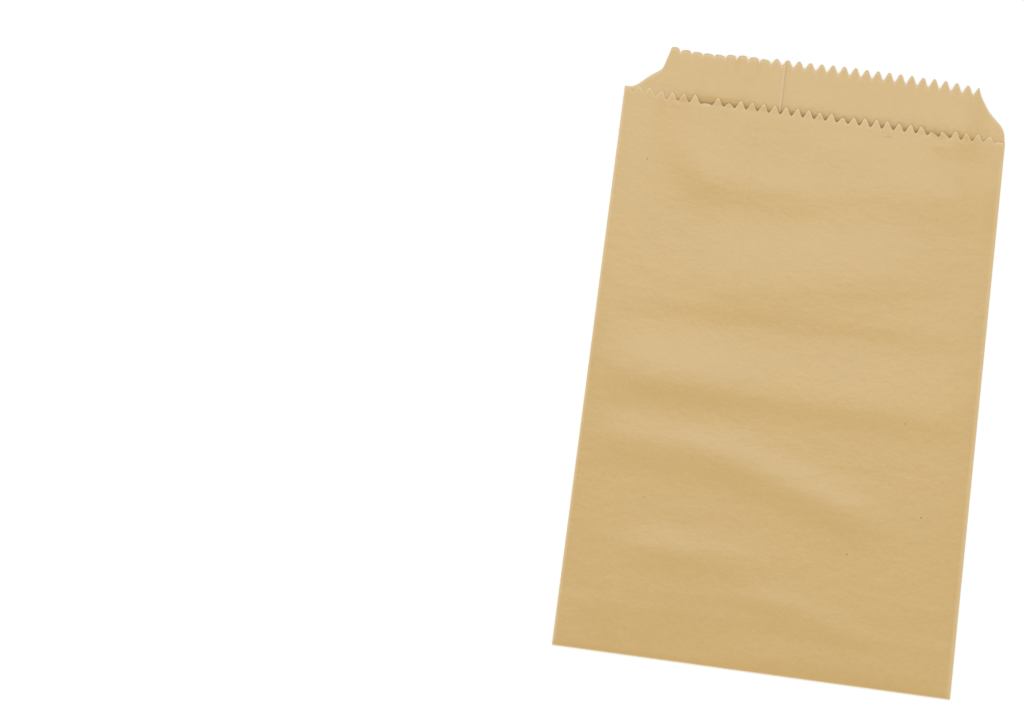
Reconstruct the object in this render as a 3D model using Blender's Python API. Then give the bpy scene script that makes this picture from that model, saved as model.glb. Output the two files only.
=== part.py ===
"""Flat brown kraft paper bag, empty, lying on its back.

The bag is one sheet of paper. Its flat pattern is drawn as an outline, given
the paper's thickness, scored where it bends, and then folded: two side folds,
a glued lap seam down the back, and a bottom flap turned up over the back.

Frame: X across the bag, +Y towards the mouth, +Z up from the surface that the
back lies on. The origin is below the middle of the whole bag. All sizes are
in metres.
"""

import math

import bmesh
import bpy

# Main sizes
WIDTH = 0.127
FRONT_HEIGHT = 0.1905  # bottom fold to the tooth tips of the front panel
LIP_RISE = 0.0176  # tooth tips of the back panel above those of the front
FLAP = 0.0160  # bottom fold to the tooth tips of the glued flap

# Paper and glue
PAPER = 0.00010
GLUE = 0.00002  # dry film between two plies
GLUE_SOAK = 0.00003  # depth that the film reaches into each ply
GLUE_MARGIN = 0.0006  # bare paper between the glue and a cut edge
FOLD_SLACK = 0.00005  # extra bend radius of a crease that isn't pressed sharp
RAMP = 0.0025  # length over which a ply comes down off another one's edge
RAMP_CLEARANCE = 0.0002  # from that edge to where the ply starts down

# Seam down the back, measured from the left side
SEAM_INNER = 0.0520  # free edge of the ply on the inside of the bag
SEAM_LAP = 0.0080  # width of the overlap

# Teeth left by the cutting knife
TOOTH_PITCH = 0.00377
TOOTH_DEPTH = 0.0030  # front panel and flap
LIP_TOOTH_DEPTH = 0.0026
NOTCH_WIDTH = 0.0006  # rounded bottom of a notch
NOTCH_ROUND = 0.00025  # how far that rounding goes below the straight flanks
FIRST_TIP = 0.0008  # first front tooth, from the left side
PLAIN_END = 0.0052  # from the last front tooth to the right side
PLAIN_DROP = 0.0015  # straight end of the front edge, below the tips
# Torn and worn teeth: how far the top is below the tips, and half the width of its flat top
WHOLE_TOOTH = (0.0, 0.0)
WORN_FRONT_TEETH = {
    0: (0.0004, 0.0008),
    7: (0.0024, 0.0012),
    9: (0.0014, 0.0007),
    19: (0.0009, 0.0003),
    27: (0.0013, 0.0003),
    28: (0.0009, 0.0003),
}
LOBE = (0.0014, 0.0012)
LOBES_END = 0.0480  # the lip's teeth are worn to lobes from the left side to here

# Shoulders of the lip: how far its corners stand in from the sides
SHOULDER_LEFT = 0.0137
SHOULDER_RIGHT = 0.0103
# Curves of each shoulder from the side fold up, as shares of its inset and of its height
LEFT_SHOULDER = (
    ((0.00, 0.00), (0.16, 0.00), (0.24, 0.05), (0.36, 0.14)),
    ((0.36, 0.14), (0.50, 0.27), (0.60, 0.34), (0.70, 0.40)),
    ((0.70, 0.40), (0.84, 0.48), (0.86, 0.50), (0.91, 0.69)),
    ((0.91, 0.69), (0.95, 0.83), (0.98, 0.86), (1.00, 1.00)),
)
RIGHT_SHOULDER = (
    ((0.00, 0.00), (0.00, 0.14), (0.05, 0.26), (0.24, 0.36)),
    ((0.24, 0.36), (0.42, 0.46), (0.55, 0.52), (0.66, 0.61)),
    ((0.66, 0.61), (0.78, 0.70), (0.90, 0.80), (1.00, 1.00)),
)
SHOULDER_STEPS = 4  # for each curve

# Loose front panel
PUFF = 0.0009  # how far it stands off the back in the middle
PUFF_START = 0.035  # length over which it lifts off at the bottom fold
MOUTH_SHARE = 1.35  # of PUFF at the mouth, which gapes a little
MOUTH_SPAN = 0.045  # length over which it opens towards the mouth
SIDE_SHARPNESS = 6  # power of its rounding towards the side folds
# Soft waves in it: centre across and along as shares of the width and height, half
# length as a share of the width, half width, turn from X in degrees, height
WAVES = (
    (0.50, 0.486, 0.63, 0.0065, 1.0, 0.00050),
    (0.17, 0.510, 0.21, 0.0090, -4.0, 0.00036),
    (0.19, 0.418, 0.27, 0.0060, 0.0, -0.00030),
    (0.52, 0.318, 0.24, 0.0055, -14.0, 0.00040),
    (0.33, 0.255, 0.24, 0.0060, -4.0, -0.00020),
    (0.47, 0.580, 0.59, 0.0050, 0.0, -0.00022),
    (0.57, 0.714, 0.27, 0.0080, 4.0, 0.00024),
    (0.13, 0.877, 0.10, 0.0060, -32.0, 0.00030),
    (0.83, 0.858, 0.22, 0.0070, 3.0, 0.00024),
    (0.85, 0.953, 0.17, 0.0055, 2.0, -0.00028),
)

# Score lines that let the sheet bend
COLUMN_TEETH = 2  # teeth between two columns across the front panel
ROW_STEP = 0.0055
ROW_MARGIN = 0.0009  # from the bottom of the notches to the last row
FOLD_STEPS = 4

# Colour of the paper
KRAFT = (0.665, 0.462, 0.220, 1.0)
KRAFT_ROUGHNESS = 0.85

# Worked out from the sizes above
LENGTH = FRONT_HEIGHT + LIP_RISE
LEFT = -WIDTH / 2
BASE = -LENGTH / 2
PLY = PAPER + GLUE  # from one glued ply to the next, middle to middle
SIDE_RADIUS = PLY + FOLD_SLACK  # to the middle of the paper; clears the lap seam
BOTTOM_RADIUS = SIDE_RADIUS + PLY / 2
SIDE_ARC = math.pi * SIDE_RADIUS
BOTTOM_ARC = math.pi * BOTTOM_RADIUS
SIDE_LINE = WIDTH / 2 - SIDE_RADIUS - PAPER / 2  # where the side folds start, either side
BOTTOM_LINE = BASE + BOTTOM_RADIUS + PAPER / 2
FRONT_TIPS = BASE + FRONT_HEIGHT
LIP_TIPS = BASE + LENGTH
FLAP_TIPS = BASE + FLAP
FLAP_END = BOTTOM_LINE - BOTTOM_ARC - (FLAP_TIPS - BOTTOM_LINE)  # its tips in the flat pattern
SEAM_OUTER = SEAM_INNER - SEAM_LAP
FLAP_RAMP = (FLAP_TIPS + RAMP_CLEARANCE, FLAP_TIPS + RAMP_CLEARANCE + RAMP)
SEAM_RAMP = (LEFT + SEAM_OUTER - RAMP_CLEARANCE - RAMP, LEFT + SEAM_OUTER - RAMP_CLEARANCE)
FLAP_FIRST_TIP = LEFT + FIRST_TIP + TOOTH_PITCH / 2  # it was cut from between two front teeth
LIP_LAST_TIP = -LEFT - SHOULDER_RIGHT
SNAP = PAPER / 1000  # a point this close to a fold's line is on it


def clear_scene():
    for old in list(bpy.data.objects):
        bpy.data.objects.remove(old, do_unlink=True)


def new_collection(name):
    collection = bpy.data.collections.new(name)
    bpy.context.scene.collection.children.link(collection)
    return collection


def share(value, start, end):
    """How far value has gone from start to end, held between 0 and 1."""
    return min(max((value - start) / (end - start), 0.0), 1.0)


def eased(value, start, end):
    part = share(value, start, end)
    return part * part * (3 - 2 * part)


# Flat pattern

def tooth_drop(x, tip, depth, worn):
    """Depth of the serrated edge at x, below tips that repeat from x = tip."""
    tooth = round((x - tip) / TOOTH_PITCH)
    away = abs(x - tip - tooth * TOOTH_PITCH)
    top, flat = worn.get(tooth, WHOLE_TOOTH)
    flank_end = (TOOTH_PITCH - NOTCH_WIDTH) / 2
    flank_depth = depth - NOTCH_ROUND
    if away > flank_end:
        return flank_depth + NOTCH_ROUND * share(away, flank_end, TOOTH_PITCH / 2)
    return top + (flank_depth - top) * share(away, flat, flank_end)


def tooth_corners(start, end, tip, worn):
    """X of every corner of the teeth between start and end, ends included."""
    corners = [start]
    first = math.floor((start - tip) / TOOTH_PITCH)
    last = math.ceil((end - tip) / TOOTH_PITCH)
    flank_end = (TOOTH_PITCH - NOTCH_WIDTH) / 2
    smallest = NOTCH_WIDTH / 4
    for tooth in range(first, last + 1):
        flat = worn.get(tooth, WHOLE_TOOTH)[1]
        for offset in sorted({-TOOTH_PITCH / 2, -flank_end, -flat, flat, flank_end}):
            x = tip + tooth * TOOTH_PITCH + offset
            if corners[-1] + smallest < x < end - smallest:
                corners.append(x)
    return corners + [end]


def serrated(start, end, tip, top, depth, worn, upwards=1):
    """Points of a serrated edge from start to end, with its tips at y = top."""
    return [(x, top - upwards * tooth_drop(x, tip, depth, worn)) for x in tooth_corners(start, end, tip, worn)]


def worn_lip_teeth():
    """The lip's teeth that are worn to lobes, numbered from its last one."""
    last = math.floor((LEFT + LOBES_END - LIP_LAST_TIP) / TOOTH_PITCH)
    first = math.floor((LEFT - LIP_LAST_TIP) / TOOTH_PITCH)
    return {tooth: LOBE for tooth in range(first, last + 1)}


def bezier(points, part):
    rest = 1 - part
    weights = (rest ** 3, 3 * rest ** 2 * part, 3 * rest * part ** 2, part ** 3)
    return tuple(sum(w * p[axis] for w, p in zip(weights, points)) for axis in (0, 1))


def shoulder(fold_x, foot_y, corner_x, corner_y, curves):
    """Points from the side fold up to a top corner of the lip."""
    across, up = corner_x - fold_x, corner_y - foot_y
    shares = [curves[0][0]]
    for curve in curves:
        shares += [bezier(curve, step / SHOULDER_STEPS) for step in range(1, SHOULDER_STEPS + 1)]
    return [(fold_x + across * a, foot_y + up * b) for a, b in shares]


def front_edge():
    """The front panel's mouth, left to right: teeth, then a short straight end."""
    tip = LEFT + FIRST_TIP
    teeth = math.floor((WIDTH - FIRST_TIP - PLAIN_END) / TOOTH_PITCH + 0.5)
    last_notch = tip + (teeth + 0.5) * TOOTH_PITCH
    edge = serrated(-SIDE_LINE, last_notch, tip, FRONT_TIPS, TOOTH_DEPTH, WORN_FRONT_TEETH)
    edge.append((last_notch + NOTCH_WIDTH, FRONT_TIPS - PLAIN_DROP))
    edge.append((SIDE_LINE, FRONT_TIPS - PLAIN_DROP))
    return edge


def lip_half(from_x, to_x):
    """The lip's serrated edge between two places, left to right."""
    return serrated(from_x, to_x, LIP_LAST_TIP, LIP_TIPS, LIP_TOOTH_DEPTH, worn_lip_teeth())


def left_ply(x):
    """Place in the flat pattern of a point of the back's left ply."""
    return -SIDE_LINE - SIDE_ARC - (x + SIDE_LINE)


def right_ply(x):
    """Place in the flat pattern of a point of the back's right ply."""
    return SIDE_LINE + SIDE_ARC + (SIDE_LINE - x)


def flat_pattern():
    """Outline of the sheet before it is folded, anticlockwise from the left ply's lower corner."""
    front = front_edge()
    left_foot, right_foot = front[0][1], front[-1][1]
    seam_in, seam_out = LEFT + SEAM_INNER, LEFT + SEAM_OUTER

    lower = [(left_ply(seam_in), BOTTOM_LINE), (-SIDE_LINE, BOTTOM_LINE)]
    lower += serrated(-SIDE_LINE, SIDE_LINE, FLAP_FIRST_TIP, FLAP_END, TOOTH_DEPTH, {}, -1)
    lower += [(SIDE_LINE, BOTTOM_LINE), (right_ply(seam_out), BOTTOM_LINE)]

    right_lip = lip_half(seam_out, LIP_LAST_TIP)
    right_lip += shoulder(SIDE_LINE, right_foot, *right_lip[-1], RIGHT_SHOULDER)[-2::-1]
    upper = [(right_ply(x), y) for x, y in right_lip]

    upper += front[::-1]

    left_lip = lip_half(LEFT + SHOULDER_LEFT, seam_in)
    left_lip = shoulder(-SIDE_LINE, left_foot, *left_lip[0], LEFT_SHOULDER)[:-1] + left_lip
    upper += [(left_ply(x), y) for x, y in left_lip]
    return lower + upper


def rim_from_outline(name, outline):
    """The cut edge of a flat sheet with this outline, as a mesh that is open above and below."""
    curve = bpy.data.curves.new(name, "CURVE")
    curve.dimensions = "2D"
    curve.fill_mode = "NONE"
    curve.extrude = PAPER / 2
    spline = curve.splines.new("POLY")
    spline.points.add(len(outline) - 1)
    for point, (u, v) in zip(spline.points, outline):
        point.co = (u, v, 0.0, 1.0)
    spline.use_cyclic_u = True
    drawn = bpy.data.objects.new(name + "_outline", curve)
    bpy.context.scene.collection.objects.link(drawn)
    evaluated = drawn.evaluated_get(bpy.context.evaluated_depsgraph_get())
    mesh = bpy.data.meshes.new_from_object(evaluated)
    bpy.data.objects.remove(drawn, do_unlink=True)
    mesh.name = name
    return mesh


# Score lines

def evenly(start, end, step):
    """Places between start and end, about one step apart, ends included."""
    count = max(1, round((end - start) / step))
    return [start + (end - start) * i / count for i in range(count + 1)]


def score_columns():
    """Places across the pattern where the sheet bends or may curve."""
    columns = []
    for step in range(FOLD_STEPS + 1):
        at = SIDE_LINE + SIDE_ARC * step / FOLD_STEPS
        columns += [-at, at]
    columns += [left_ply(SEAM_RAMP[0]), left_ply(SEAM_RAMP[1])]
    column = FLAP_FIRST_TIP + TOOTH_PITCH  # through the notches of the front edge
    while column < SIDE_LINE - TOOTH_PITCH:
        columns.append(column)
        column += COLUMN_TEETH * TOOTH_PITCH
    return columns


def score_rows():
    """Places along the pattern where the sheet bends or may curve."""
    rows = evenly(BOTTOM_LINE, FLAP_RAMP[0], ROW_STEP)
    rows += evenly(FLAP_RAMP[1], FRONT_TIPS - TOOTH_DEPTH - ROW_MARGIN, ROW_STEP)
    rows.append(LIP_TIPS - LIP_TOOTH_DEPTH - ROW_MARGIN)
    rows += [BOTTOM_LINE - BOTTOM_ARC * (step + 1) / FOLD_STEPS for step in range(FOLD_STEPS)]
    rows.append(FLAP_END + TOOTH_DEPTH + ROW_MARGIN)
    return rows


def close_sheet(sheet):
    """Give the rim one whole face above and one below."""
    bmesh.ops.remove_doubles(sheet, verts=sheet.verts, dist=PAPER / 100)
    bmesh.ops.holes_fill(sheet, edges=sheet.edges, sides=0)
    bmesh.ops.recalc_face_normals(sheet, faces=sheet.faces)


def score(sheet):
    """Cut the sheet's faces along the score lines, so that it can bend there."""
    lines = [((u, 0, 0), (1, 0, 0)) for u in score_columns()]
    lines += [((0, v, 0), (0, 1, 0)) for v in score_rows()]
    for place, direction in lines:
        everything = sheet.verts[:] + sheet.edges[:] + sheet.faces[:]
        bmesh.ops.bisect_plane(sheet, geom=everything, dist=PAPER / 20, plane_co=place, plane_no=direction)
    bmesh.ops.triangulate(sheet, faces=sheet.faces[:])


# Folding

def wave_height(x, y):
    """Sum of the front panel's soft waves."""
    total = 0.0
    for centre_x, centre_y, half_length, half_width, turn, height in WAVES:
        angle = math.radians(turn)
        dx = x - LEFT - centre_x * WIDTH
        dy = y - BASE - centre_y * FRONT_HEIGHT
        along = (dx * math.cos(angle) + dy * math.sin(angle)) / (half_length * WIDTH)
        across = (dy * math.cos(angle) - dx * math.sin(angle)) / half_width
        total += height * math.exp(-along ** 4 - across ** 2)
    return total


def loft(x, y):
    """How far the front panel stands off its lowest place, none at the folds."""
    across = 1 - min(abs(x) / SIDE_LINE, 1.0) ** SIDE_SHARPNESS
    lift = eased(y, BOTTOM_LINE, BOTTOM_LINE + PUFF_START)
    settle = 1 - (1 - MOUTH_SHARE) * eased(y, FRONT_TIPS - MOUTH_SPAN, FRONT_TIPS)
    return across * lift * (PUFF * settle + wave_height(x, y))


def back_level(y):
    """Middle of the back ply, which lies on the flap and then on the floor."""
    return PAPER / 2 + PLY * (1 - share(y, *FLAP_RAMP))


def seam_lift(x):
    """How far the left ply climbs onto the right one's edge."""
    return PLY * share(x, *SEAM_RAMP)


def fold_bottom(u, v, w):
    """Place of a point of the bottom fold and the flap."""
    beyond = BOTTOM_LINE - v
    turn = min(beyond / BOTTOM_RADIUS, math.pi)
    reach = BOTTOM_RADIUS + w
    y = BOTTOM_LINE - reach * math.sin(turn) + max(beyond - BOTTOM_ARC, 0.0)
    z = PAPER / 2 + BOTTOM_RADIUS + reach * math.cos(turn)
    return u, y, z


def fold_side(u, v, w):
    """Place of a point of a side fold or of the back."""
    side = math.copysign(1.0, u)
    beyond = abs(u) - SIDE_LINE
    turn = min(beyond / SIDE_RADIUS, math.pi)
    reach = SIDE_RADIUS + w
    x = side * (SIDE_LINE + reach * math.sin(turn) - max(beyond - SIDE_ARC, 0.0))
    z = back_level(v) + SIDE_RADIUS + reach * math.cos(turn)
    if side < 0 and beyond > SIDE_ARC:
        z += seam_lift(x)
    return x, v, z


def folded(u, v, w):
    """Where a point of the pattern goes: u across, v along, w outwards from mid-paper."""
    if v < BOTTOM_LINE - SNAP:
        return fold_bottom(u, v, w)
    if abs(u) > SIDE_LINE + SNAP:
        return fold_side(u, v, w)
    return u, v, back_level(v) + 2 * SIDE_RADIUS + loft(u, v) + w


# Solids

def paper_material():
    material = bpy.data.materials.new("kraft_paper")
    material.use_nodes = True
    shader = material.node_tree.nodes["Principled BSDF"]
    shader.inputs["Base Color"].default_value = KRAFT
    shader.inputs["Roughness"].default_value = KRAFT_ROUGHNESS
    shader.inputs["Metallic"].default_value = 0.0
    return material


def folded_sheet(name, collection):
    """The bag before it is glued."""
    mesh = rim_from_outline(name, flat_pattern())
    sheet = bmesh.new()
    sheet.from_mesh(mesh)
    close_sheet(sheet)
    score(sheet)
    for vert in sheet.verts:
        vert.co = folded(*vert.co)
    bmesh.ops.recalc_face_normals(sheet, faces=sheet.faces)
    sheet.to_mesh(mesh)
    sheet.free()
    bag = bpy.data.objects.new(name, mesh)
    collection.objects.link(bag)
    return bag


def glue_film(name, x_range, y_range, bottom_at, collection):
    """A thin film of glue, soaked into the ply below it and the ply above it."""
    film = bmesh.new()
    bmesh.ops.create_cube(film, size=1.0)
    for y in FLAP_RAMP:
        where = (y - y_range[0]) / (y_range[1] - y_range[0]) - 0.5
        everything = film.verts[:] + film.edges[:] + film.faces[:]
        bmesh.ops.bisect_plane(film, geom=everything, plane_co=(0, where, 0), plane_no=(0, 1, 0))
    thickness = GLUE + 2 * GLUE_SOAK
    for vert in film.verts:
        x = x_range[0] + (vert.co.x + 0.5) * (x_range[1] - x_range[0])
        y = y_range[0] + (vert.co.y + 0.5) * (y_range[1] - y_range[0])
        z = bottom_at(y) - GLUE_SOAK + (vert.co.z + 0.5) * thickness
        vert.co = (x, y, z)
    mesh = bpy.data.meshes.new(name)
    film.to_mesh(mesh)
    film.free()
    guide = bpy.data.objects.new(name, mesh)
    guide.hide_render = True
    guide.display_type = "WIRE"
    collection.objects.link(guide)
    return guide


def seam_glue(collection):
    """Glue of the lap seam, between the right ply's top and the left ply above it."""
    across = (LEFT + SEAM_OUTER + GLUE_MARGIN, LEFT + SEAM_INNER - GLUE_MARGIN)
    along = (BOTTOM_LINE + GLUE_MARGIN, LIP_TIPS - LIP_TOOTH_DEPTH - GLUE_MARGIN)
    return glue_film("seam_glue", across, along, lambda y: back_level(y) + PAPER / 2, collection)


def flap_glue(collection):
    """Glue of the bottom flap, between the flap's top and the back above it."""
    across = (-SIDE_LINE + GLUE_MARGIN, SIDE_LINE - GLUE_MARGIN)
    along = (BOTTOM_LINE + GLUE_MARGIN, FLAP_TIPS - TOOTH_DEPTH - GLUE_MARGIN)
    return glue_film("flap_glue", across, along, lambda y: PAPER, collection)


def glue_together(bag, film):
    join = bag.modifiers.new(film.name, "BOOLEAN")
    join.operation = "UNION"
    join.solver = "EXACT"
    join.object = film


def main():
    clear_scene()
    parts = new_collection("flat_paper_bag")
    films = new_collection("glue")
    bag = folded_sheet("paper_bag", parts)
    bag.data.materials.clear()
    bag.data.materials.append(paper_material())
    glue_together(bag, seam_glue(films))
    glue_together(bag, flap_glue(films))


main()
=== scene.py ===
"""Looks of the flat kraft paper bag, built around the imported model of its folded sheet.

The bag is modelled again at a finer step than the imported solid: the same flat
pattern, folded in the same way, with every tooth of its cut edges shaped by
itself and the soft waves of the loose front panel. All sizes are in metres,
and MM is one millimetre.
"""

import math

import bpy
import numpy as np
from mathutils import Matrix, Vector


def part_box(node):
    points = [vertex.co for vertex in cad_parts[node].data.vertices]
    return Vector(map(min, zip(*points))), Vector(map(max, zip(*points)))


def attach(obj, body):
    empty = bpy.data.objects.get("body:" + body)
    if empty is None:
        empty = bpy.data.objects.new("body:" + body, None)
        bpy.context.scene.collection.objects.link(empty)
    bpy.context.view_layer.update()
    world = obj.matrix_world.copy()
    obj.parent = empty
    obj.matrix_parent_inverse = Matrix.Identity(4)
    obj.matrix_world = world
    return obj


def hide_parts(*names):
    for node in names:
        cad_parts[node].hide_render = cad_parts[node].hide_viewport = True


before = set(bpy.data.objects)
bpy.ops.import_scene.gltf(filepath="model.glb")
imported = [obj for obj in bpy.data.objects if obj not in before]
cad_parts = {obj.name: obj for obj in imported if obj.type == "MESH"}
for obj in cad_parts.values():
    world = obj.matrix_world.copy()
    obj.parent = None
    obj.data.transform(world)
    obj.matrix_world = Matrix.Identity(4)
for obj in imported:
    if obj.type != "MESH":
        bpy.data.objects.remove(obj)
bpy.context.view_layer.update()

MM = 0.001

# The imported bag's own sizes
LOW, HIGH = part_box("paper_bag")
WIDTH = HIGH[0] - LOW[0]
LENGTH = HIGH[1] - LOW[1]
LEFT, BASE = LOW[0], LOW[1]

# The rest of its sizes, as the part's source has them
LIP_RISE = 17.6 * MM
FLAP = 16.0 * MM
PAPER = 0.10 * MM
GLUE = 0.02 * MM
FOLD_SLACK = 0.05 * MM
RAMP = 2.5 * MM
RAMP_CLEARANCE = 0.2 * MM
SEAM_INNER = 52.0 * MM
SEAM_LAP = 8.0 * MM
TOOTH_PITCH = 3.77 * MM
PLAIN_END = 5.2 * MM
SHOULDER_LEFT = 13.7 * MM
SHOULDER_RIGHT = 10.3 * MM

# Sizes of the mouth that differ from the source's by up to 0.15 mm, and its left corner, which
# the source doesn't have
TOOTH_DEPTH = 2.95 * MM
FIRST_TIP = 0.95 * MM
PLAIN_DROP = 1.6 * MM
CORNER_DROP = 0.35 * MM
CORNER_WIDTH = 0.8 * MM

# Worked out from them
FRONT_HEIGHT = LENGTH - LIP_RISE
PLY = PAPER + GLUE
SIDE_RADIUS = PLY + FOLD_SLACK
BOTTOM_RADIUS = SIDE_RADIUS + PLY / 2
SIDE_ARC = math.pi * SIDE_RADIUS
BOTTOM_ARC = math.pi * BOTTOM_RADIUS
SIDE_LINE = WIDTH / 2 - SIDE_RADIUS - PAPER / 2
BOTTOM_LINE = BASE + BOTTOM_RADIUS + PAPER / 2
FRONT_TIPS = BASE + FRONT_HEIGHT
MOUTH_ROW = FRONT_HEIGHT / MM
LIP_ROW = LENGTH / MM
LIP_TIPS = BASE + LENGTH
FLAP_TIPS = BASE + FLAP
FLAP_RAMP = (FLAP_TIPS + RAMP_CLEARANCE, FLAP_TIPS + RAMP_CLEARANCE + RAMP)
SEAM_OUTER = SEAM_INNER - SEAM_LAP
SEAM_RAMP = (LEFT + SEAM_OUTER - RAMP_CLEARANCE - RAMP, LEFT + SEAM_OUTER - RAMP_CLEARANCE)
LIP_LAST_TIP = -LEFT - SHOULDER_RIGHT

# Camera, fitted to the corners of the bag in the photograph
LENS = 137.1
AIM = Vector((-88.4, -10.75, 0.0)) * MM
DISTANCE = 1.259
TILT = 17.14
TURN = -1.2
ROLL = 9.05


def share(value, start, end):
    """How far value is on its way from start to end, from 0 to 1."""
    return np.clip((value - start) / (end - start), 0.0, 1.0)


def eased(value, start, end):
    """The same way, with a soft start and end."""
    part = share(value, start, end)
    return part * part * (3 - 2 * part)


def between(value, start, end, blur):
    """1 between start and end, softly falling to 0 over blur at both."""
    return eased(value, start - blur, start) * (1 - eased(value, end, end + blur))


# Cut edges

# Front teeth that aren't like the rest: height left, sideways lean, upward curl in millimetres
ODD_FRONT_TEETH = {
    0: (0.98, 0.10, 0.0),
    6: (1.00, -0.06, 0.25),
    7: (0.12, -0.30, 0.0),
    9: (0.50, 0.00, 0.0),
    17: (0.90, 0.00, 0.1),
    19: (0.68, 0.15, 0.1),
    20: (0.86, 0.00, 0.1),
    24: (0.90, 0.00, 0.1),
    27: (0.45, -0.85, 0.2),
    28: (0.68, -0.85, 0.25),
}
# Spread of a usual tooth's height and lean, and the range of its curl in millimetres
HEIGHT_SPREAD = 0.04
LEAN_SPREAD = 0.07
CURL_RANGE = (0.02, 0.22)
# How far the front tips are above their nominal line, by place from the left
FRONT_BOW = ((0, 0.3), (4, 0.9), (9, 0.6), (13, 0.2), (20, 0.0), (127, 0.0))
# How much shallower the mouth's notches get towards each end, and between which places
SHALLOW_LEFT, SHALLOW_LEFT_RANGE = 0.25, (9.0, 13.0)
SHALLOW_RIGHT, SHALLOW_RIGHT_RANGE = 0.35, (112.0, 124.0)
PLAIN_EASE = 1.0 * MM
# The lip's teeth are worn to low lobes on its left part
LOBES_END = 46.5 * MM
TEETH_START = 48.0 * MM
LOBE_SHARPNESS = 4
TIP_WEAR = 0.1 * MM
# How far the lip's tops and notches are below its highest tip, by place from the left
LIP_TOPS = ((14, 1.1), (19, 1.9), (27, 2.2), (31, 1.8), (37, 1.3), (46, 1.5), (49, 0.7), (60, 0.5),
            (72, 0.1), (100, 0.1), (108, 0.4), (117, 1.0))
LIP_NOTCHES = ((14, 3.2), (50, 2.85), (80, 2.95), (105, 3.3), (117, 3.7))
LOBE_SLANT = 0.15 * MM
# Higher values make wider teeth with narrower notches
FRONT_FULLNESS = 1.0
LIP_FULLNESS = 1.25


def tooth_table(count, seed):
    """Height, lean and curl of each tooth, slightly unlike one another."""
    spread = np.random.default_rng(seed)
    table = np.empty((count, 3))
    table[:, 0] = 1.0 - np.abs(spread.normal(0.0, HEIGHT_SPREAD, count))
    table[:, 1] = spread.normal(0.0, LEAN_SPREAD, count)
    table[:, 2] = spread.uniform(*CURL_RANGE, count)
    return table


FRONT_TEETH = math.floor((WIDTH - FIRST_TIP - PLAIN_END) / TOOTH_PITCH + 0.5) + 1
LIP_TEETH = math.floor((WIDTH - SHOULDER_LEFT - SHOULDER_RIGHT) / TOOTH_PITCH + 0.5) + 1
LIP_FIRST_TIP = LIP_LAST_TIP - (LIP_TEETH - 1) * TOOTH_PITCH
FLAP_TEETH = 40
front_teeth = tooth_table(FRONT_TEETH + 1, seed=3)
for odd, (height, lean, curl) in ODD_FRONT_TEETH.items():
    front_teeth[odd] = height, lean, curl
lip_teeth = tooth_table(LIP_TEETH, seed=8)
lip_slants = np.random.default_rng(5).normal(0.0, 1.0, LIP_TEETH)
flap_teeth = tooth_table(FLAP_TEETH, seed=11)


def tooth_at(x, tip, table):
    """Which tooth is at x, and how far from its tip, from 0 to 1 at the notches."""
    place = (x - tip) / TOOTH_PITCH
    number = np.clip(np.round(place).astype(int), 0, len(table) - 1)
    return number, np.clip(2 * np.abs(place - number), 0.0, 1.0)


def tooth_profile(away, fullness):
    """Depth of a tooth's edge below its rounded tip, from 0 to 1 at the narrow notch."""
    return ((1 - np.cos(math.pi * away)) / 2) ** fullness


def serration(x, tip, table):
    """Depth of a serrated edge at x below its tips, from 0 to 1."""
    number, away = tooth_at(x, tip, table)
    return 1 - table[number, 0] * (1 - tooth_profile(away, FRONT_FULLNESS))


def leaned(x, tip, table):
    """How far the edge's points shift along X as each tooth leans to its own side."""
    number, away = tooth_at(x, tip, table)
    return table[number, 1] * (1 - away) * TOOTH_PITCH / 2


def bezier(points, part):
    """One coordinate of a cubic curve with four control points."""
    rest = 1 - part
    weights = (rest ** 3, 3 * rest ** 2 * part, 3 * rest * part ** 2, part ** 3)
    return sum(weight * point for weight, point in zip(weights, points))


# Shoulder curves as control points: share of the inset from the side fold, share of the rise
LEFT_SHOULDER = (((0.0, 0.0), (0.16, 0.0), (0.24, 0.05), (0.36, 0.14)),
                 ((0.36, 0.14), (0.50, 0.27), (0.60, 0.34), (0.70, 0.40)),
                 ((0.70, 0.40), (0.84, 0.485), (0.86, 0.50), (0.91, 0.69)),
                 ((0.91, 0.69), (0.95, 0.83), (0.98, 0.86), (1.0, 1.0)))
RIGHT_SHOULDER = (((0.0, 0.0), (0.0, 0.14), (0.05, 0.26), (0.24, 0.365)),
                  ((0.24, 0.365), (0.42, 0.46), (0.55, 0.52), (0.66, 0.61)),
                  ((0.66, 0.61), (0.76, 0.70), (0.88, 0.80), (0.93, 0.87)),
                  ((0.93, 0.87), (0.96, 0.92), (0.98, 0.95), (1.0, 1.0)))
SHOULDER_STEPS = 16


def shoulder_height(curves, inset, across):
    """Height of a shoulder, as a share of its rise, at a distance in from the side fold."""
    steps = np.linspace(0.0, 1.0, SHOULDER_STEPS)
    places = np.concatenate([bezier([point[0] for point in curve], steps) for curve in curves]) * inset
    rises = np.concatenate([bezier([point[1] for point in curve], steps) for curve in curves])
    return np.interp(across, np.maximum.accumulate(places), rises)


def along_edge(table, x):
    """Value of a table of places and millimetres at x, in metres."""
    return np.interp((x - LEFT) / MM, [place for place, _ in table], [value for _, value in table]) * MM


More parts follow.
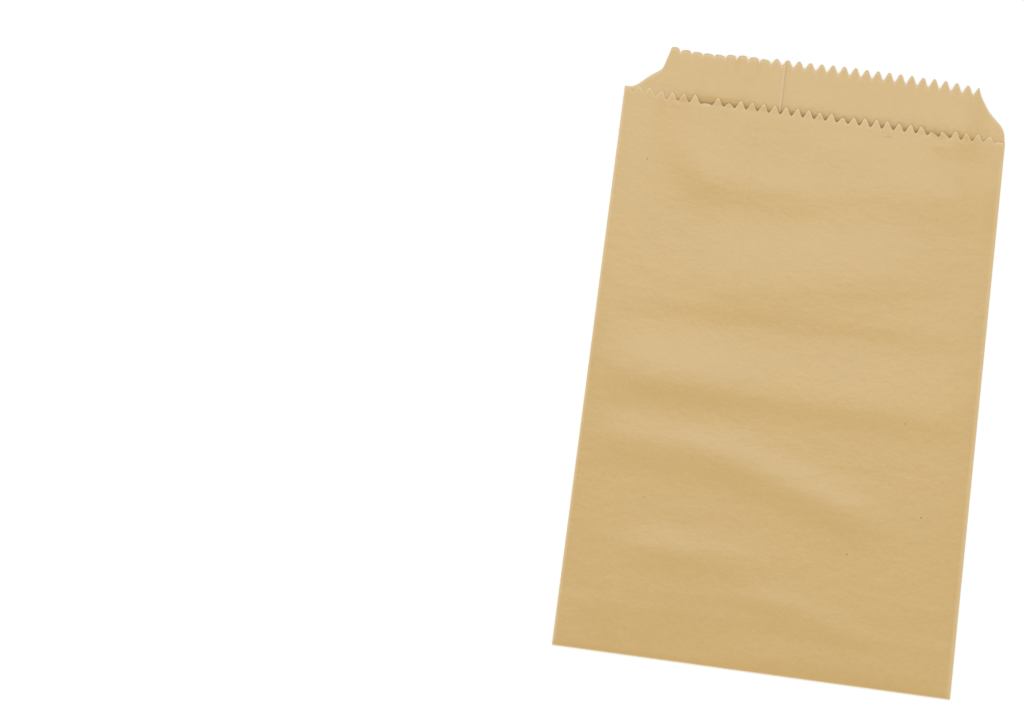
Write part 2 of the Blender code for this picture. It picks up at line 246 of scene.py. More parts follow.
def front_edge(x):
    """Height of the front panel's mouth at x."""
    tip = LEFT + FIRST_TIP
    place = (x - LEFT) / MM
    last_notch = tip + (FRONT_TEETH - 0.5) * TOOTH_PITCH
    shallow = SHALLOW_LEFT * (1 - eased(place, *SHALLOW_LEFT_RANGE))
    shallow += SHALLOW_RIGHT * eased(place, *SHALLOW_RIGHT_RANGE)
    depth = TOOTH_DEPTH * serration(x, tip, front_teeth) * (1 - shallow)
    depth = np.maximum(depth, CORNER_DROP * (x < tip + CORNER_WIDTH))
    depth = np.where(x < tip, CORNER_DROP, depth)
    notch = TOOTH_DEPTH * (1 - SHALLOW_RIGHT)
    plain = notch + (PLAIN_DROP - notch) * eased(x, last_notch, last_notch + PLAIN_EASE)
    return FRONT_TIPS + along_edge(FRONT_BOW, x) - np.where(x < last_notch, depth, plain)


def lip_edge(x):
    """Height of the lip's edge at x, from shoulder to shoulder."""
    number, away = tooth_at(x, LIP_FIRST_TIP, lip_teeth)
    centre = LIP_FIRST_TIP + number * TOOTH_PITCH
    toothed = eased(centre, LEFT + LOBES_END, LEFT + TEETH_START)
    slant = LOBE_SLANT * lip_slants[number] * (x - centre) / (TOOTH_PITCH / 2)
    wear = TIP_WEAR * (1 - lip_teeth[number, 0]) / HEIGHT_SPREAD
    top = along_edge(LIP_TOPS, centre) + (1 - toothed) * slant + wear
    notch = along_edge(LIP_NOTCHES, x)
    lobe = away ** LOBE_SHARPNESS
    return LIP_TIPS - top - (notch - top) * (lobe + (tooth_profile(away, LIP_FULLNESS) - lobe) * toothed)


def back_edge(x):
    """Height of the back's top edge at x: lip, shoulders and the feet at the side folds."""
    left_foot, right_foot = front_edge(np.array([-SIDE_LINE, SIDE_LINE]))
    left_x, right_x = LEFT + SHOULDER_LEFT, LIP_LAST_TIP
    left_top, right_top = lip_edge(np.array([left_x, right_x]))
    left_share = shoulder_height(LEFT_SHOULDER, left_x + SIDE_LINE, x + SIDE_LINE)
    right_share = shoulder_height(RIGHT_SHOULDER, SIDE_LINE - right_x, SIDE_LINE - x)
    left = left_foot + (left_top - left_foot) * left_share
    right = right_foot + (right_top - right_foot) * right_share
    return np.where(x < left_x, left, np.where(x > right_x, right, lip_edge(x)))


def flap_edge(x):
    """How far the flap reaches up the back at x."""
    tip = LEFT + FIRST_TIP - TOOTH_PITCH / 2
    return FLAP_TIPS - TOOTH_DEPTH * serration(x, tip, flap_teeth)


# Ridges and hollows of the loose front panel, in millimetres from its lower left corner:
# crest x and y, half length, half width below and above, turn from X in degrees, height
FRONT_WAVES = (
    (72.0, 91.0, 74.0, 5.5, 13.0, 0.0, 0.46),
    (19.0, 94.0, 30.0, 12.0, 9.0, -2.0, 0.54),
    (21.0, 69.8, 30.0, 7.0, 8.0, -2.0, 0.58),
    (71.0, 61.0, 29.0, 7.0, 6.5, -17.0, 0.54),
    (41.0, 35.0, 24.0, 6.0, 5.5, 0.0, 0.28),
    (31.0, 35.5, 13.0, 4.0, 5.0, 0.0, 0.12),
    (79.0, 19.5, 22.0, 5.5, 5.0, -12.0, 0.44),
    (42.0, 20.0, 24.0, 6.0, 5.0, 0.0, 0.16),
    (82.0, 3.5, 24.0, 3.0, 7.0, 0.0, 0.60),
    (16.5, 5.0, 3.2, 3.0, 15.0, 0.0, 1.00),
    (29.5, 5.0, 2.8, 3.0, 12.0, 0.0, 0.80),
    (63.0, 119.0, 66.0, 4.0, 8.0, 1.0, 0.20),
    (73.0, 133.0, 36.0, 10.0, 15.0, 10.0, 0.62),
    (28.0, 131.0, 22.0, 10.0, 13.0, 0.0, 0.28),
    (52.0, 160.5, 24.0, 7.0, 7.5, 0.0, 0.22),
    (24.0, 167.0, 14.0, 7.5, 8.0, -40.0, 0.26),
    (106.0, 166.0, 26.0, 9.0, 8.0, 3.0, 0.22),
    (120.0, 177.5, 16.0, 6.0, 6.0, -10.0, -0.20),
    (84.0, 185.5, 20.0, 5.0, 4.0, 0.0, -0.12),
)
# Soft waves of the lip, the same way
LIP_WAVES = (
    (30.5, 191.5, 5.5, 5.0, 9.0, -6.0, 0.32),
    (39.5, 205.0, 3.8, 9.0, 6.0, 0.0, 0.42),
    (21.0, 192.0, 7.0, 5.0, 7.0, 0.0, 0.12),
    (112.0, 197.0, 14.0, 6.0, 6.0, -40.0, 0.16),
    (78.0, 197.0, 22.0, 5.0, 5.0, 0.0, 0.10),
)
# The lip's rise under the mouth of the front panel: height, and where it starts and ends
LIP_STEP = 0.62
LIP_STEP_ROWS = (187.0, 190.0)
LIP_STEP_LEFT = (13.0, 30.0)
LIP_STEP_RIGHT = (112.0, 122.0)
# How much of that rise is gone at the lip's edge and at its right end
LIP_SETTLING = 0.6
LIP_RIGHT_LOSS = 0.8
# Rows in which the lip comes free of the front panel, so that its own waves start
LIP_FREE_ROWS = (MOUTH_ROW - 6.0, MOUTH_ROW + 1.0)
# The pucker below the mouth's left teeth, given as the waves are
MOUTH_PUCKERS = (
    (18.0, 187.0, 5.0, 1.5, 1.5, 0.0, 0.10),
)
# The bent patch near the mouth's right end and the raised one below it: height, centre, half sizes,
# and how steeply the patch slopes down to the right
BENT_PATCH = (-0.50, (105.0, 189.9), (3.0, 2.2), 0.25)
RAISED_PATCH = (0.08, (105.0, 184.6), (4.0, 1.6), 0.20)
# The front panel's height off the back: over most of it, where that is reached above the bottom
# fold, how many times as much at the mouth, and over what length the mouth opens
PUFF = 0.65
PUFF_ROWS = (-4.0, 30.0)
MOUTH_SHARE = 2.10
MOUTH_SPAN = 58.0
SIDE_SHARPNESS = 6
LEAST_PUFF = 0.15
# Where the mouth lies closed at its left end, and where it is held tight at its right end
CLOSED_COLUMNS, CLOSED_ROWS = (4.0, 34.0), (95.0, 178.0)
TIGHT_SHARE, TIGHT_COLUMNS, TIGHT_ROWS = 0.55, (110.0, 124.0), (150.0, MOUTH_ROW - 2.0)
# Where the two plies are pressed together: from, to, and from which rows on; and what is left
PRESSED_FROM, PRESSED_TO = (0.3, 5.0), (9.0, 15.0)
PRESSED_ROWS = (MOUTH_ROW - 30.0, MOUTH_ROW - 3.0)
PRESSED_REST = 0.02
# How much the front teeth hang where they aren't curled up, from which columns on, over what
# length at their edge, and how much less the lip's teeth curl
TEETH_HANG = 0.45
CURL_COLUMNS = (10.0, 18.0)
CURL_SPAN = 4.0
LIP_CURL_SHARE = 0.6
# The lift of the seam's free edge at the lip, and the rows in which it starts
SEAM_CURL = 0.40 * MM
SEAM_CURL_ROWS = (FRONT_TIPS - 8.0 * MM, FRONT_TIPS - 4.0 * MM)


def waves(table, x, y):
    """Sum of soft ridges and hollows at x, y, in millimetres."""
    total = np.zeros_like(x)
    for crest_x, crest_y, half_length, below, above, turn, height in table:
        angle = math.radians(turn)
        dx, dy = x - crest_x, y - crest_y
        along = (dx * math.cos(angle) + dy * math.sin(angle)) / half_length
        offset = dy * math.cos(angle) - dx * math.sin(angle)
        across = offset / np.where(offset < 0, below, above)
        total += height * np.exp(-along ** 4 - across ** 2)
    return total


def seam_print(x, y):
    """The back seam's outer edge showing through the front panel as a faint groove."""
    depth, half_width, faint = 0.08, 1.0, 0.3
    centre = SEAM_OUTER / MM + 0.1
    plain = between(y, 125.0, 187.0, 25.0)
    strength = (faint + (1 - faint) * plain) * eased(y, 38.0, 60.0)
    return -depth * strength * np.exp(-((x - centre) / half_width) ** 2)


def bottom_roll(x, y):
    """A low ridge along the bottom fold, on its right part."""
    height, centre, half_length = 0.2, 92.0, 36.0
    foot, crest, end = 0.2, 4.0, 13.0
    rise = eased(y, foot, crest) * (1 - eased(y, crest, end))
    return height * np.exp(-((x - centre) / half_length) ** 4) * rise


def flap_ripples(x, y):
    """Small upright ripples above the glued flap, at the lower left."""
    height, pitch, slant = 0.09, 6.1, 0.15
    centre_x, centre_y, reach = 22.0, 12.0, 11.0
    place = np.exp(-((x - centre_x) / reach) ** 4 - ((y - centre_y) / reach) ** 4)
    return height * place * np.sin(2 * math.pi * (x + slant * y) / pitch)


def mouth_share(x, y):
    """How much of the puff is left: more towards the mouth, none at the mouth's left end."""
    opening = 1 + (MOUTH_SHARE - 1) * eased(y, MOUTH_ROW - MOUTH_SPAN, MOUTH_ROW)
    closed = (1 - eased(x, *CLOSED_COLUMNS)) * eased(y, *CLOSED_ROWS)
    tight = TIGHT_SHARE * eased(x, *TIGHT_COLUMNS) * eased(y, *TIGHT_ROWS)
    return opening * (1 - closed) * (1 - tight)


def patch(x, y, height, centre, size, slope):
    """A small oval patch: its height at the centre, falling to 0 around it."""
    across = (x - centre[0]) / size[0]
    along = (y - centre[1] + slope * (x - centre[0])) / size[1]
    return height * np.exp(-across ** 2 - along ** 2)


def mouth_details(x, y):
    """Curled teeth, the puckers below them at the left and a bent patch at the right."""
    number, _ = tooth_at(LEFT + x * MM, LEFT + FIRST_TIP, front_teeth)
    curl = front_teeth[number, 2] - TEETH_HANG
    curl *= eased(x, *CURL_COLUMNS) * eased(y, MOUTH_ROW - CURL_SPAN, MOUTH_ROW)
    bent = patch(x, y, *BENT_PATCH) + patch(x, y, *RAISED_PATCH)
    return curl + waves(MOUTH_PUCKERS, x, y) + bent


def pressed(x, y):
    """How far the two plies are pressed together at the mouth's left end."""
    depth = (2 * SIDE_RADIUS - PAPER) / MM - PRESSED_REST
    return depth * eased(x, *PRESSED_FROM) * (1 - eased(x, *PRESSED_TO)) * eased(y, *PRESSED_ROWS)


def front_loft(x, y):
    """How far the front panel stands off its lowest place, in metres."""
    edge = 1 - np.clip(np.abs(x) / SIDE_LINE, 0, 1) ** SIDE_SHARPNESS
    fx, fy = (x - LEFT) / MM, (y - BASE) / MM
    lift = eased(fy, *PUFF_ROWS)
    loose = PUFF + waves(FRONT_WAVES, fx, fy)
    shaped = edge * lift * np.maximum(loose, LEAST_PUFF) * mouth_share(fx, fy)
    details = edge * (seam_print(fx, fy) + mouth_details(fx, fy) + bottom_roll(fx, fy))
    details += lift * flap_ripples(fx, fy)
    return (np.maximum(shaped + details, 0.0) - pressed(fx, fy)) * MM


def lip_loft(x, y):
    """Soft waves of the back beyond the front panel's mouth, in metres."""
    fx, fy = (x - LEFT) / MM, (y - BASE) / MM
    beyond = eased(fy, *LIP_FREE_ROWS)
    number, _ = tooth_at(x, LIP_FIRST_TIP, lip_teeth)
    curl = LIP_CURL_SHARE * lip_teeth[number, 2] * eased(fy, LIP_ROW - CURL_SPAN, LIP_ROW)
    loose = eased(fx, *LIP_STEP_LEFT) * (1 - LIP_RIGHT_LOSS * eased(fx, *LIP_STEP_RIGHT))
    settled = 1 - LIP_SETTLING * eased(fy, LIP_STEP_ROWS[1], LIP_ROW)
    rise = LIP_STEP * loose * settled * eased(fy, *LIP_STEP_ROWS)
    return (rise + beyond * (np.maximum(waves(LIP_WAVES, fx, fy), 0.0) + curl)) * MM


# Folding, for whole arrays of points of the flat pattern

def back_level(y):
    """Height of the back's middle surface, which steps up where it lies on the flap."""
    return PAPER / 2 + PLY * (1 - share(y, *FLAP_RAMP))


def fold_front(u, v):
    """The front panel."""
    x = u + leaned(u, LEFT + FIRST_TIP, front_teeth) * eased(v, FRONT_TIPS - TOOTH_DEPTH, FRONT_TIPS)
    return np.stack([x, v, back_level(v) + 2 * SIDE_RADIUS + front_loft(u, v)], axis=-1)


def fold_side(u, v):
    """A side fold and the part of the back beyond it, with the lap of the seam."""
    side = np.sign(u)
    beyond = np.abs(u) - SIDE_LINE
    turn = np.minimum(beyond / SIDE_RADIUS, math.pi)
    past = np.maximum(beyond - SIDE_ARC, 0.0)
    x = side * (SIDE_LINE + SIDE_RADIUS * np.sin(turn) - past)
    z = back_level(v) + SIDE_RADIUS * (1 + np.cos(turn))
    lap = PLY * share(x, *SEAM_RAMP)
    lap += SEAM_CURL * share(x, LEFT + SEAM_OUTER, LEFT + SEAM_INNER) * eased(v, *SEAM_CURL_ROWS)
    z += np.where((side < 0) & (past > 0), lap, 0.0)
    z += np.where(past > 0, lip_loft(x, v), 0.0)
    return np.stack([x, v, z], axis=-1)


def fold_bottom(u, v):
    """The bottom fold and the flap."""
    beyond = BOTTOM_LINE - v
    turn = np.minimum(beyond / BOTTOM_RADIUS, math.pi)
    y = BOTTOM_LINE - BOTTOM_RADIUS * np.sin(turn) + np.maximum(beyond - BOTTOM_ARC, 0.0)
    z = PAPER / 2 + BOTTOM_RADIUS * (1 + np.cos(turn))
    return np.stack([u, y, z], axis=-1)


# The sheet's mesh: wide columns over the panels, and finer ones where teeth are cut

TOOTH_PARTS = (0.0, 0.04, 0.12, 0.22, 0.33, 0.42, 0.5, 0.58, 0.67, 0.78, 0.88, 0.96)
WIDE_PARTS = (0.0, 0.5)
COLUMN_GAP = 0.1 * MM
SEAM_COLUMNS = (*SEAM_RAMP, *(LEFT + SEAM_INNER - back * MM for back in (1.2, 0.7, 0.3)))
PRINT_COLUMNS = tuple(LEFT + SEAM_OUTER + beside * MM for beside in (-1.4, -0.7, -0.3, 0.1, 0.5, 0.9, 1.6))
ROW_STEP = 1.7 * MM
MOUTH_BAND = 8.0 * MM
BAND_ROWS = (0.0, 0.17, 0.195, 0.22, 0.245, 0.27, 0.295, 0.38, 0.54, 0.67, 0.78, 0.87, 0.94, 0.98, 1.0)
FLAP_ROWS = (0.3, 0.6, 0.8, 0.9, 0.97, 1.0)
FOLD_STEPS = 8
TINY = 1e-9
# Paleness along cut edges and folds, partly the paper's pale cut and rubbed fibres and partly a painted
# highlight where edges and folds catch the light: how far it reaches from a cut edge, how wide it is on a
# fold as a share of the fold, how much of it is missing in the front's notches, and the first points of
# each row, at the free edge of the lap seam
EDGE_FADE = 0.40 * MM
CREASE_WIDTH = 0.55
NOTCH_LOSS = 0.9
SEAM_EDGE_PALENESS_AND_HIGHLIGHT = (1.0, 0.2)


def tooth_columns(start, end, tip, extra=()):
    """Places from start to end that hold every tip and notch of the teeth, and which are wide ones."""
    first, last = math.floor((start - tip) / TOOTH_PITCH), math.ceil((end - tip) / TOOTH_PITCH)
    places = {start: True, end: True}
    places.update({x: True for x in extra})
    fixed = list(places)
    for tooth in range(first, last + 1):
        for part in TOOTH_PARTS:
            x = tip + (tooth + part) * TOOTH_PITCH
            if start < x < end and min(abs(x - other) for other in fixed) > COLUMN_GAP:
                places[x] = part in WIDE_PARTS
    ordered = sorted(places)
    return np.array(ordered), np.array([places[x] for x in ordered])


class Sheet:
    """Points and faces of the folded paper's middle surface."""

    def __init__(self):
        self.points, self.cut, self.crease, self.front = [], [], [], []
        self.faces = []
        self.count = 0

    def row(self, points, cut, crease, front):
        """Adds a row of points and gives their numbers."""
        numbers = np.arange(self.count, self.count + len(points))
        self.count += len(points)
        self.points.append(points)
        self.cut.append(np.broadcast_to(cut, len(points)))
        self.crease.append(np.broadcast_to(crease, len(points)))
        self.front.append(np.broadcast_to(front, len(points)))
        return numbers

    def weave(self, lower, upper):
        for a, b, c, d in zip(lower[:-1], lower[1:], upper[1:], upper[:-1]):
            self.faces.append((a, b, c, d))

    def weave_finer(self, lower, upper, wide, flipped=False):
        """Joins a row of wide columns to one that has all columns."""
        stops = np.flatnonzero(wide)
        for column, (start, end) in enumerate(zip(stops[:-1], stops[1:])):
            face = (lower[column], lower[column + 1], *upper[start:end + 1][::-1])
            self.faces.append(face[::-1] if flipped else face)


def fold_nearness(u):
    """1 on the two side folds, falling to 0 on the flat plies."""
    middle = SIDE_LINE + SIDE_ARC / 2
    return np.exp(-((np.abs(u) - middle) / (SIDE_ARC * CREASE_WIDTH)) ** 2)


def main_row(sheet, u, v, top):
    """One row of the tube: back, side fold, front, side fold and back."""
    in_front = np.abs(u) <= SIDE_LINE + TINY
    points = np.where(in_front[:, None], fold_front(u, v), fold_side(u, v))
    _, away = tooth_at(u, LEFT + FIRST_TIP, front_teeth)
    # Paleness near the top cut edge and along the seam's free edge: partly pale cut fibres, partly a
    # painted highlight, most of it left out in the front's notches
    cut = np.exp(-(top - v) / EDGE_FADE) * np.where(in_front, 1 - NOTCH_LOSS * away ** 3, 1.0)
    cut[:len(SEAM_EDGE_PALENESS_AND_HIGHLIGHT)] = SEAM_EDGE_PALENESS_AND_HIGHLIGHT
    return sheet.row(points, cut, fold_nearness(u), in_front)


def weave_tube(sheet, u, wide):
    """The tube from the bottom fold to the mouth and the lip, and the numbers of its lowest row."""
    past = np.maximum(np.abs(u) - SIDE_LINE - SIDE_ARC, 0.0)
    back_top = back_edge(np.sign(u) * (SIDE_LINE - past))
    top = np.where(np.abs(u) <= SIDE_LINE + TINY, front_edge(u), back_top)
    foot = FRONT_TIPS - MOUTH_BAND
    wide_u, wide_top = u[wide], top[wide]
    first = below = None
    for v in np.linspace(BOTTOM_LINE, foot, round((foot - BOTTOM_LINE) / ROW_STEP) + 1)[:-1]:
        above = main_row(sheet, wide_u, np.full_like(wide_u, v), wide_top)
        if below is None:
            first = above
        else:
            sheet.weave(below, above)
        below = above
    for part in BAND_ROWS:
        above = main_row(sheet, u, foot + (top - foot) * part, top)
        if part == BAND_ROWS[0]:
            sheet.weave_finer(below, above, wide)
        else:
            sheet.weave(below, above)
        below = above
    return first


def weave_flap(sheet, below, front, wide):
    """The bottom fold and the flap, from the front panel's lowest row on."""
    wide_front = front[wide]
    for step in range(1, FOLD_STEPS + 1):
        turned = step / FOLD_STEPS
        points = fold_bottom(wide_front, np.full_like(wide_front, BOTTOM_LINE - BOTTOM_ARC * turned))
        # The bottom fold is paler at its middle: partly rubbed fibres, partly a painted highlight
        crease = math.exp(-((turned - 0.5) / CREASE_WIDTH) ** 2)
        above = sheet.row(points, 0.0, crease, False)
        sheet.weave(above, below)
        below = above
    reach = flap_edge(front) - BOTTOM_LINE
    for part in FLAP_ROWS:
        points = fold_bottom(front, BOTTOM_LINE - BOTTOM_ARC - reach * part)
        above = sheet.row(points, np.exp(-reach * (1 - part) / EDGE_FADE), 0.0, False)
        if part == FLAP_ROWS[0]:
            sheet.weave_finer(below, above, wide, flipped=True)
        else:
            sheet.weave(above, below)
        below = above


def make_sheet():
    """The whole sheet, from the mouth and the lip down to the end of the glued flap."""
    sheet = Sheet()
    left, left_wide = tooth_columns(-SIDE_LINE, LEFT + SEAM_INNER, LIP_FIRST_TIP, SEAM_COLUMNS)
    right, right_wide = tooth_columns(LEFT + SEAM_OUTER, SIDE_LINE, LIP_FIRST_TIP)
    front, front_wide = tooth_columns(-SIDE_LINE, SIDE_LINE, LEFT + FIRST_TIP, PRINT_COLUMNS)
    arc = SIDE_LINE + SIDE_ARC * np.linspace(0, 1, FOLD_STEPS + 1)[1:-1]
    left_back = -SIDE_LINE - SIDE_ARC - (left + SIDE_LINE)
    right_back = SIDE_LINE + SIDE_ARC + (SIDE_LINE - right)
    u = np.concatenate([left_back[::-1], -arc[::-1], front, arc, right_back[::-1]])
    folds = np.ones(len(arc), bool)
    wide = np.concatenate([left_wide[::-1], folds, front_wide, folds, right_wide[::-1]])
    first = weave_tube(sheet, u, wide)
    start = int(np.sum(wide[:len(left_back) + len(arc)]))
    weave_flap(sheet, first[start:start + int(np.sum(front_wide))], front, front_wide)
    return sheet


def make_bag():
    """The bag as one sheet with the paper's thickness."""
    sheet = make_sheet()
    mesh = bpy.data.meshes.new("kraft_bag")
    faces = [tuple(int(number) for number in face) for face in sheet.faces]
    mesh.from_pydata(np.concatenate(sheet.points).tolist(), [], faces)
    # The first two layers hold the paleness of cut edges and folds, which is partly a painted highlight
    for name, rows in (("cut_edge_paleness_and_highlight", sheet.cut), ("crease", sheet.crease), ("front_ply", sheet.front)):
        layer = mesh.attributes.new(name, "FLOAT", "POINT")
        layer.data.foreach_set("value", np.concatenate(rows).astype(np.float32))
    mesh.shade_smooth()
    bag = bpy.data.objects.new("kraft_bag", mesh)
    bpy.context.scene.collection.objects.link(bag)
    thickness = bag.modifiers.new("paper", "SOLIDIFY")
    thickness.thickness = PAPER
    thickness.offset = 0.0
    thickness.use_rim = True
    return bag


# Materials

class Graph:
    """Short ways to add shader nodes."""

    def __init__(self, material):
        material.use_nodes = True
        self.nodes, self.links = material.node_tree.nodes, material.node_tree.links
        self.shader = self.nodes["Principled BSDF"]
        self.output = self.nodes["Material Output"]

    def put(self, socket, value):
        if isinstance(value, bpy.types.NodeSocket):
            self.links.new(value, socket)
        else:
            socket.default_value = value

    def math(self, operation, *values, clamp=False):
        node = self.nodes.new("ShaderNodeMath")
        node.operation = operation
        node.use_clamp = clamp
        for socket, value in zip(node.inputs, values):
            self.put(socket, value)
        return node.outputs[0]

    def summed(self, total, *layers):
        """The total plus each layer times its strength."""
        for layer, strength in layers:
            total = self.math("MULTIPLY_ADD", layer, strength, total)
        return total

    def mapped(self, stretch, shift):
        place = self.nodes.new("ShaderNodeTexCoord").outputs["Object"]
        node = self.nodes.new("ShaderNodeMapping")
        self.put(node.inputs["Vector"], place)
        node.inputs["Scale"].default_value = stretch
        node.inputs["Location"].default_value = shift
        return node.outputs[0]

    def noise(self, stretch, detail=3.0, roughness=0.55, shift=(0, 0, 0)):
        """Noise centred on 0, roughly from -1 to 1, at so many features a metre along each axis."""
        node = self.nodes.new("ShaderNodeTexNoise")
        self.put(node.inputs["Vector"], self.mapped(stretch, shift))
        node.inputs["Scale"].default_value = 1.0
        node.inputs["Detail"].default_value = detail
        node.inputs["Roughness"].default_value = roughness
        return self.math("MULTIPLY", self.math("SUBTRACT", node.outputs["Fac"], 0.5), 2.0)

    def mix(self, factor, first, second):
        node = self.nodes.new("ShaderNodeMix")
        node.data_type = "RGBA"
        self.put(node.inputs["Factor"], factor)
        self.put(node.inputs["A"], first)
        self.put(node.inputs["B"], second)
        return node.outputs["Result"]

    def attribute(self, name):
        node = self.nodes.new("ShaderNodeAttribute")
        node.attribute_name = name
        return node.outputs["Fac"]

    def scaled(self, colour, amount):
        node = self.nodes.new("ShaderNodeVectorMath")
        node.operation = "SCALE"
        self.put(node.inputs[0], colour)
        self.put(node.inputs["Scale"], amount)
        return node.outputs[0]


KRAFT = (0.563, 0.368, 0.124, 1.0)
KRAFT_FIBRE = (0.40, 0.23, 0.085, 1.0)
# Pale colour of cut edges and folds: partly the paper's pale cut and rubbed fibres, partly a painted
# highlight where they catch the light
PALE_EDGE_AND_HIGHLIGHT = (0.93, 0.78, 0.52, 1.0)
SPECK = (0.20, 0.11, 0.05, 1.0)
EDGE_PALENESS_AND_HIGHLIGHT = 0.55
ROUGHNESS = 0.33
BUMP_DISTANCE = 0.011 * MM
# Only the strongest fibres are dark: from which value of the noise on, and how quickly
DARK_FIBRES, FIBRE_CONTRAST = 0.42, 1.4
# Dark specks that stand out: place from the lower left corner, half length, half width, strength
SPECKS = (
    (10.4, 166.1, 0.27, 0.24, 0.70),
    (89.5, 42.2, 0.32, 0.30, 0.55),
    (112.0, 57.6, 0.28, 0.26, 0.90),
    (103.8, 87.9, 0.26, 0.24, 0.70),
    (23.2, 52.0, 0.24, 0.22, 0.50),
    (88.4, 185.0, 1.10, 0.30, 0.30),
)
# A speck's edge softens from here inwards, in squares of its half size
SPECK_EDGE = 1.6


def speck_mask(graph):
    """The listed specks, on the front ply only."""
    place = graph.nodes.new("ShaderNodeTexCoord").outputs["Object"]
    split = graph.nodes.new("ShaderNodeSeparateXYZ")
    graph.put(split.inputs[0], place)
    total = 0.0
    for x, y, half_length, half_width, strength in SPECKS:
        dx = graph.math("DIVIDE", graph.math("SUBTRACT", split.outputs[0], LEFT + x * MM), half_length * MM)
        dy = graph.math("DIVIDE", graph.math("SUBTRACT", split.outputs[1], BASE + y * MM), half_width * MM)
        away = graph.math("ADD", graph.math("MULTIPLY", dx, dx), graph.math("MULTIPLY", dy, dy))
        spot = graph.math("MULTIPLY", graph.math("SUBTRACT", SPECK_EDGE, away, clamp=True), strength)
        total = graph.math("MAXIMUM", total, spot)
    return graph.math("MULTIPLY", total, graph.attribute("front_ply"))


def kraft_material():
    """Unbleached kraft: cloudy pulp, fibres along X, dark specks, pale cut edges and folds that are partly
    a painted highlight, and a faint glaze.
    """
    material = bpy.data.materials.new("kraft_paper")
    graph = Graph(material)
    shader = graph.shader
    cloud = graph.noise((28, 34, 30), detail=3.0)
    mottle = graph.noise((620, 820, 700), detail=3.0, shift=(3, 1, 0))
    fibre = graph.noise((700, 3600, 2000), detail=4.0, roughness=0.6, shift=(0, 5, 2))
    grain = graph.noise((4200, 5200, 4000), detail=3.0, shift=(1, 2, 7))
    crumple = graph.noise((170, 230, 200), detail=2.0, shift=(6, 3, 4))
    tone = graph.summed(1.0, (cloud, 0.035), (mottle, 0.06), (fibre, 0.04), (grain, 0.04))
    colour = graph.scaled(KRAFT[:3], tone)
    dark = graph.math("SUBTRACT", fibre, DARK_FIBRES, clamp=True)
    dark = graph.math("MULTIPLY", dark, FIBRE_CONTRAST, clamp=True)
    colour = graph.mix(dark, colour, KRAFT_FIBRE)
    colour = graph.mix(speck_mask(graph), colour, SPECK)
    # Cut edges and folds are paler: partly pale cut and rubbed fibres, partly a painted highlight
    wear_and_highlight = graph.math("MAXIMUM", graph.attribute("cut_edge_paleness_and_highlight"), graph.attribute("crease"))
    edge = graph.math("MULTIPLY", wear_and_highlight, EDGE_PALENESS_AND_HIGHLIGHT, clamp=True)
    colour = graph.mix(edge, colour, PALE_EDGE_AND_HIGHLIGHT)
    graph.put(shader.inputs["Base Color"], colour)
    graph.put(shader.inputs["Roughness"], graph.summed(ROUGHNESS, (mottle, 0.03)))
    shader.inputs["Metallic"].default_value = 0.0
    shader.inputs["Specular IOR Level"].default_value = 0.7
    height = graph.summed(0.0, (grain, 0.3), (fibre, 0.4), (mottle, 1.5), (crumple, 5.0))
    bump = graph.nodes.new("ShaderNodeBump")
    bump.inputs["Strength"].default_value = 1.0
    bump.inputs["Distance"].default_value = BUMP_DISTANCE
    graph.put(bump.inputs["Height"], height)
    graph.put(shader.inputs["Normal"], bump.outputs[0])
    return material


# The floor's own colour, the strength of the white that is mixed in, and how much of it
FLOOR_COLOUR = (0.95, 0.95, 0.95, 1.0)
FLOOR_GLOW = 1.12
FLOOR_WHITENING = 0.4


def floor_material():
    """White paper sweep: the camera sees it as white, and it keeps the bag's shadow."""
    material = bpy.data.materials.new("white_floor")
    graph = Graph(material)
    graph.shader.inputs["Base Color"].default_value = FLOOR_COLOUR
    graph.shader.inputs["Roughness"].default_value = 0.9
    graph.shader.inputs["Specular IOR Level"].default_value = 0.1
    glow = graph.nodes.new("ShaderNodeEmission")
    glow.inputs["Color"].default_value = (1.0, 1.0, 1.0, 1.0)
    glow.inputs["Strength"].default_value = FLOOR_GLOW
    rays = graph.nodes.new("ShaderNodeLightPath")
    seen = graph.math("MAXIMUM", rays.outputs["Is Camera Ray"], rays.outputs["Is Glossy Ray"])
    seen = graph.math("MAXIMUM", seen, rays.outputs["Is Transmission Ray"])
    mix = graph.nodes.new("ShaderNodeMixShader")
    graph.put(mix.inputs[0], graph.math("MULTIPLY", seen, FLOOR_WHITENING))
    graph.links.new(graph.shader.outputs[0], mix.inputs[1])
    graph.links.new(glow.outputs[0], mix.inputs[2])
    graph.links.new(mix.outputs[0], graph.output.inputs["Surface"])
    return material


# Stage

FLOOR_SIZE = 8.0
FLOOR_GAP = 0.1 * MM
WORLD_LEVEL = 0.785
# Two large soft boxes: compass side clockwise from +Y, elevation, distance, size, power
SOFT_BOXES = {
    "upper_light": (4.0, 63.5, 2.4, (1.4, 0.6), 10.5),
    "lower_light": (195.0, 40.0, 2.4, (1.4, 1.0), 9.0),
}


def make_floor():
    bpy.ops.mesh.primitive_plane_add(size=FLOOR_SIZE, location=(0, 0, -FLOOR_GAP))
    floor = bpy.context.object
    floor.name = "floor"
    floor.data.materials.append(floor_material())


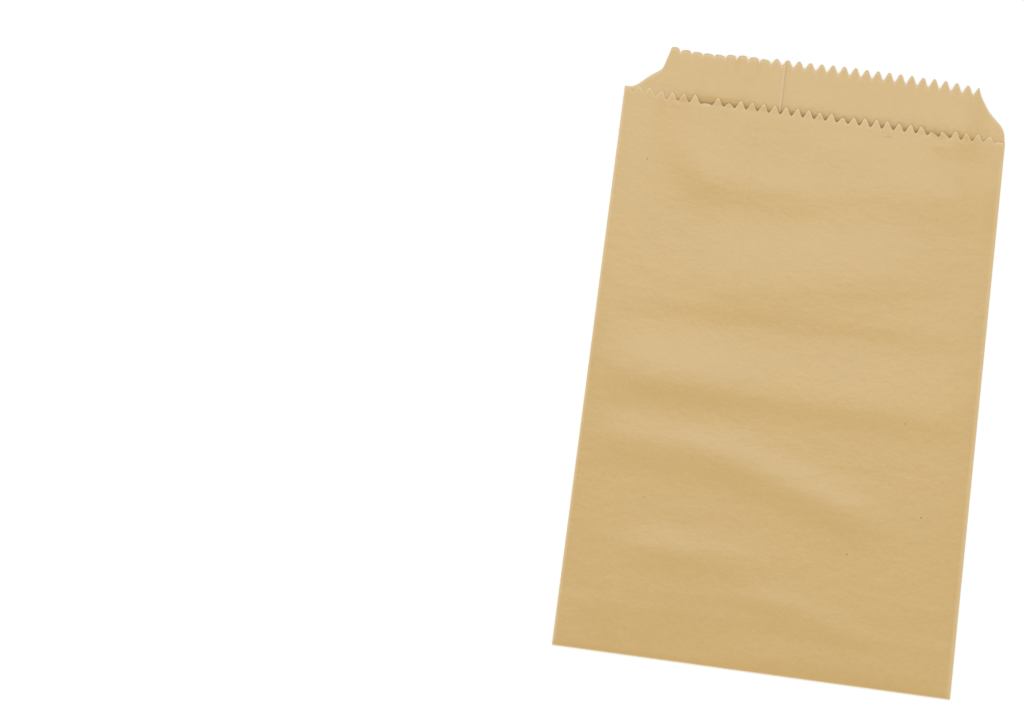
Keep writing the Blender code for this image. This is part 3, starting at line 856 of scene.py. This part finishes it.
def make_world():
    world = bpy.data.worlds.new("studio")
    bpy.context.scene.world = world
    world.use_nodes = True
    background = world.node_tree.nodes["Background"]
    background.inputs["Color"].default_value = (1.0, 1.0, 1.0, 1.0)
    background.inputs["Strength"].default_value = WORLD_LEVEL


def add_area_light(name, azimuth, elevation, distance, size, power):
    """A soft box that looks at the bag from a compass side and a height in degrees."""
    light = bpy.data.lights.new(name, "AREA")
    light.shape = "RECTANGLE"
    light.size, light.size_y = size
    light.energy = power
    lamp = bpy.data.objects.new(name, light)
    side, height = math.radians(azimuth), math.radians(elevation)
    away = Vector((math.sin(side) * math.cos(height), math.cos(side) * math.cos(height), math.sin(height)))
    lamp.location = away * distance
    lamp.rotation_mode = "QUATERNION"
    lamp.rotation_quaternion = away.to_track_quat("Z", "Y")
    bpy.context.scene.collection.objects.link(lamp)


def make_camera():
    """The photograph's camera: nearly overhead, from the bag's lower side."""
    camera = bpy.data.objects.new("camera", bpy.data.cameras.new("camera"))
    camera.data.sensor_width = 36.0
    camera.data.sensor_fit = "HORIZONTAL"
    camera.data.lens = LENS
    camera.data.clip_start, camera.data.clip_end = 0.05, 20.0
    turn, tilt, roll = math.radians(TURN), math.radians(TILT), math.radians(ROLL)
    back = Vector((math.sin(tilt) * math.sin(turn), -math.sin(tilt) * math.cos(turn), math.cos(tilt)))
    level = Vector((math.cos(turn), math.sin(turn), 0.0))
    upright = back.cross(level)
    right = level * math.cos(roll) + upright * math.sin(roll)
    up = upright * math.cos(roll) - level * math.sin(roll)
    rotation = Matrix((right, up, back)).transposed()
    camera.matrix_world = Matrix.Translation(AIM + back * DISTANCE) @ rotation.to_4x4()
    bpy.context.scene.collection.objects.link(camera)
    bpy.context.scene.camera = camera


def main():
    bag = make_bag()
    bag.data.materials.append(kraft_material())
    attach(bag, "root")
    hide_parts("paper_bag")
    make_floor()
    make_world()
    for name, setting in SOFT_BOXES.items():
        add_area_light(name, *setting)
    make_camera()
    bpy.context.scene.view_settings.view_transform = "Standard"


main()
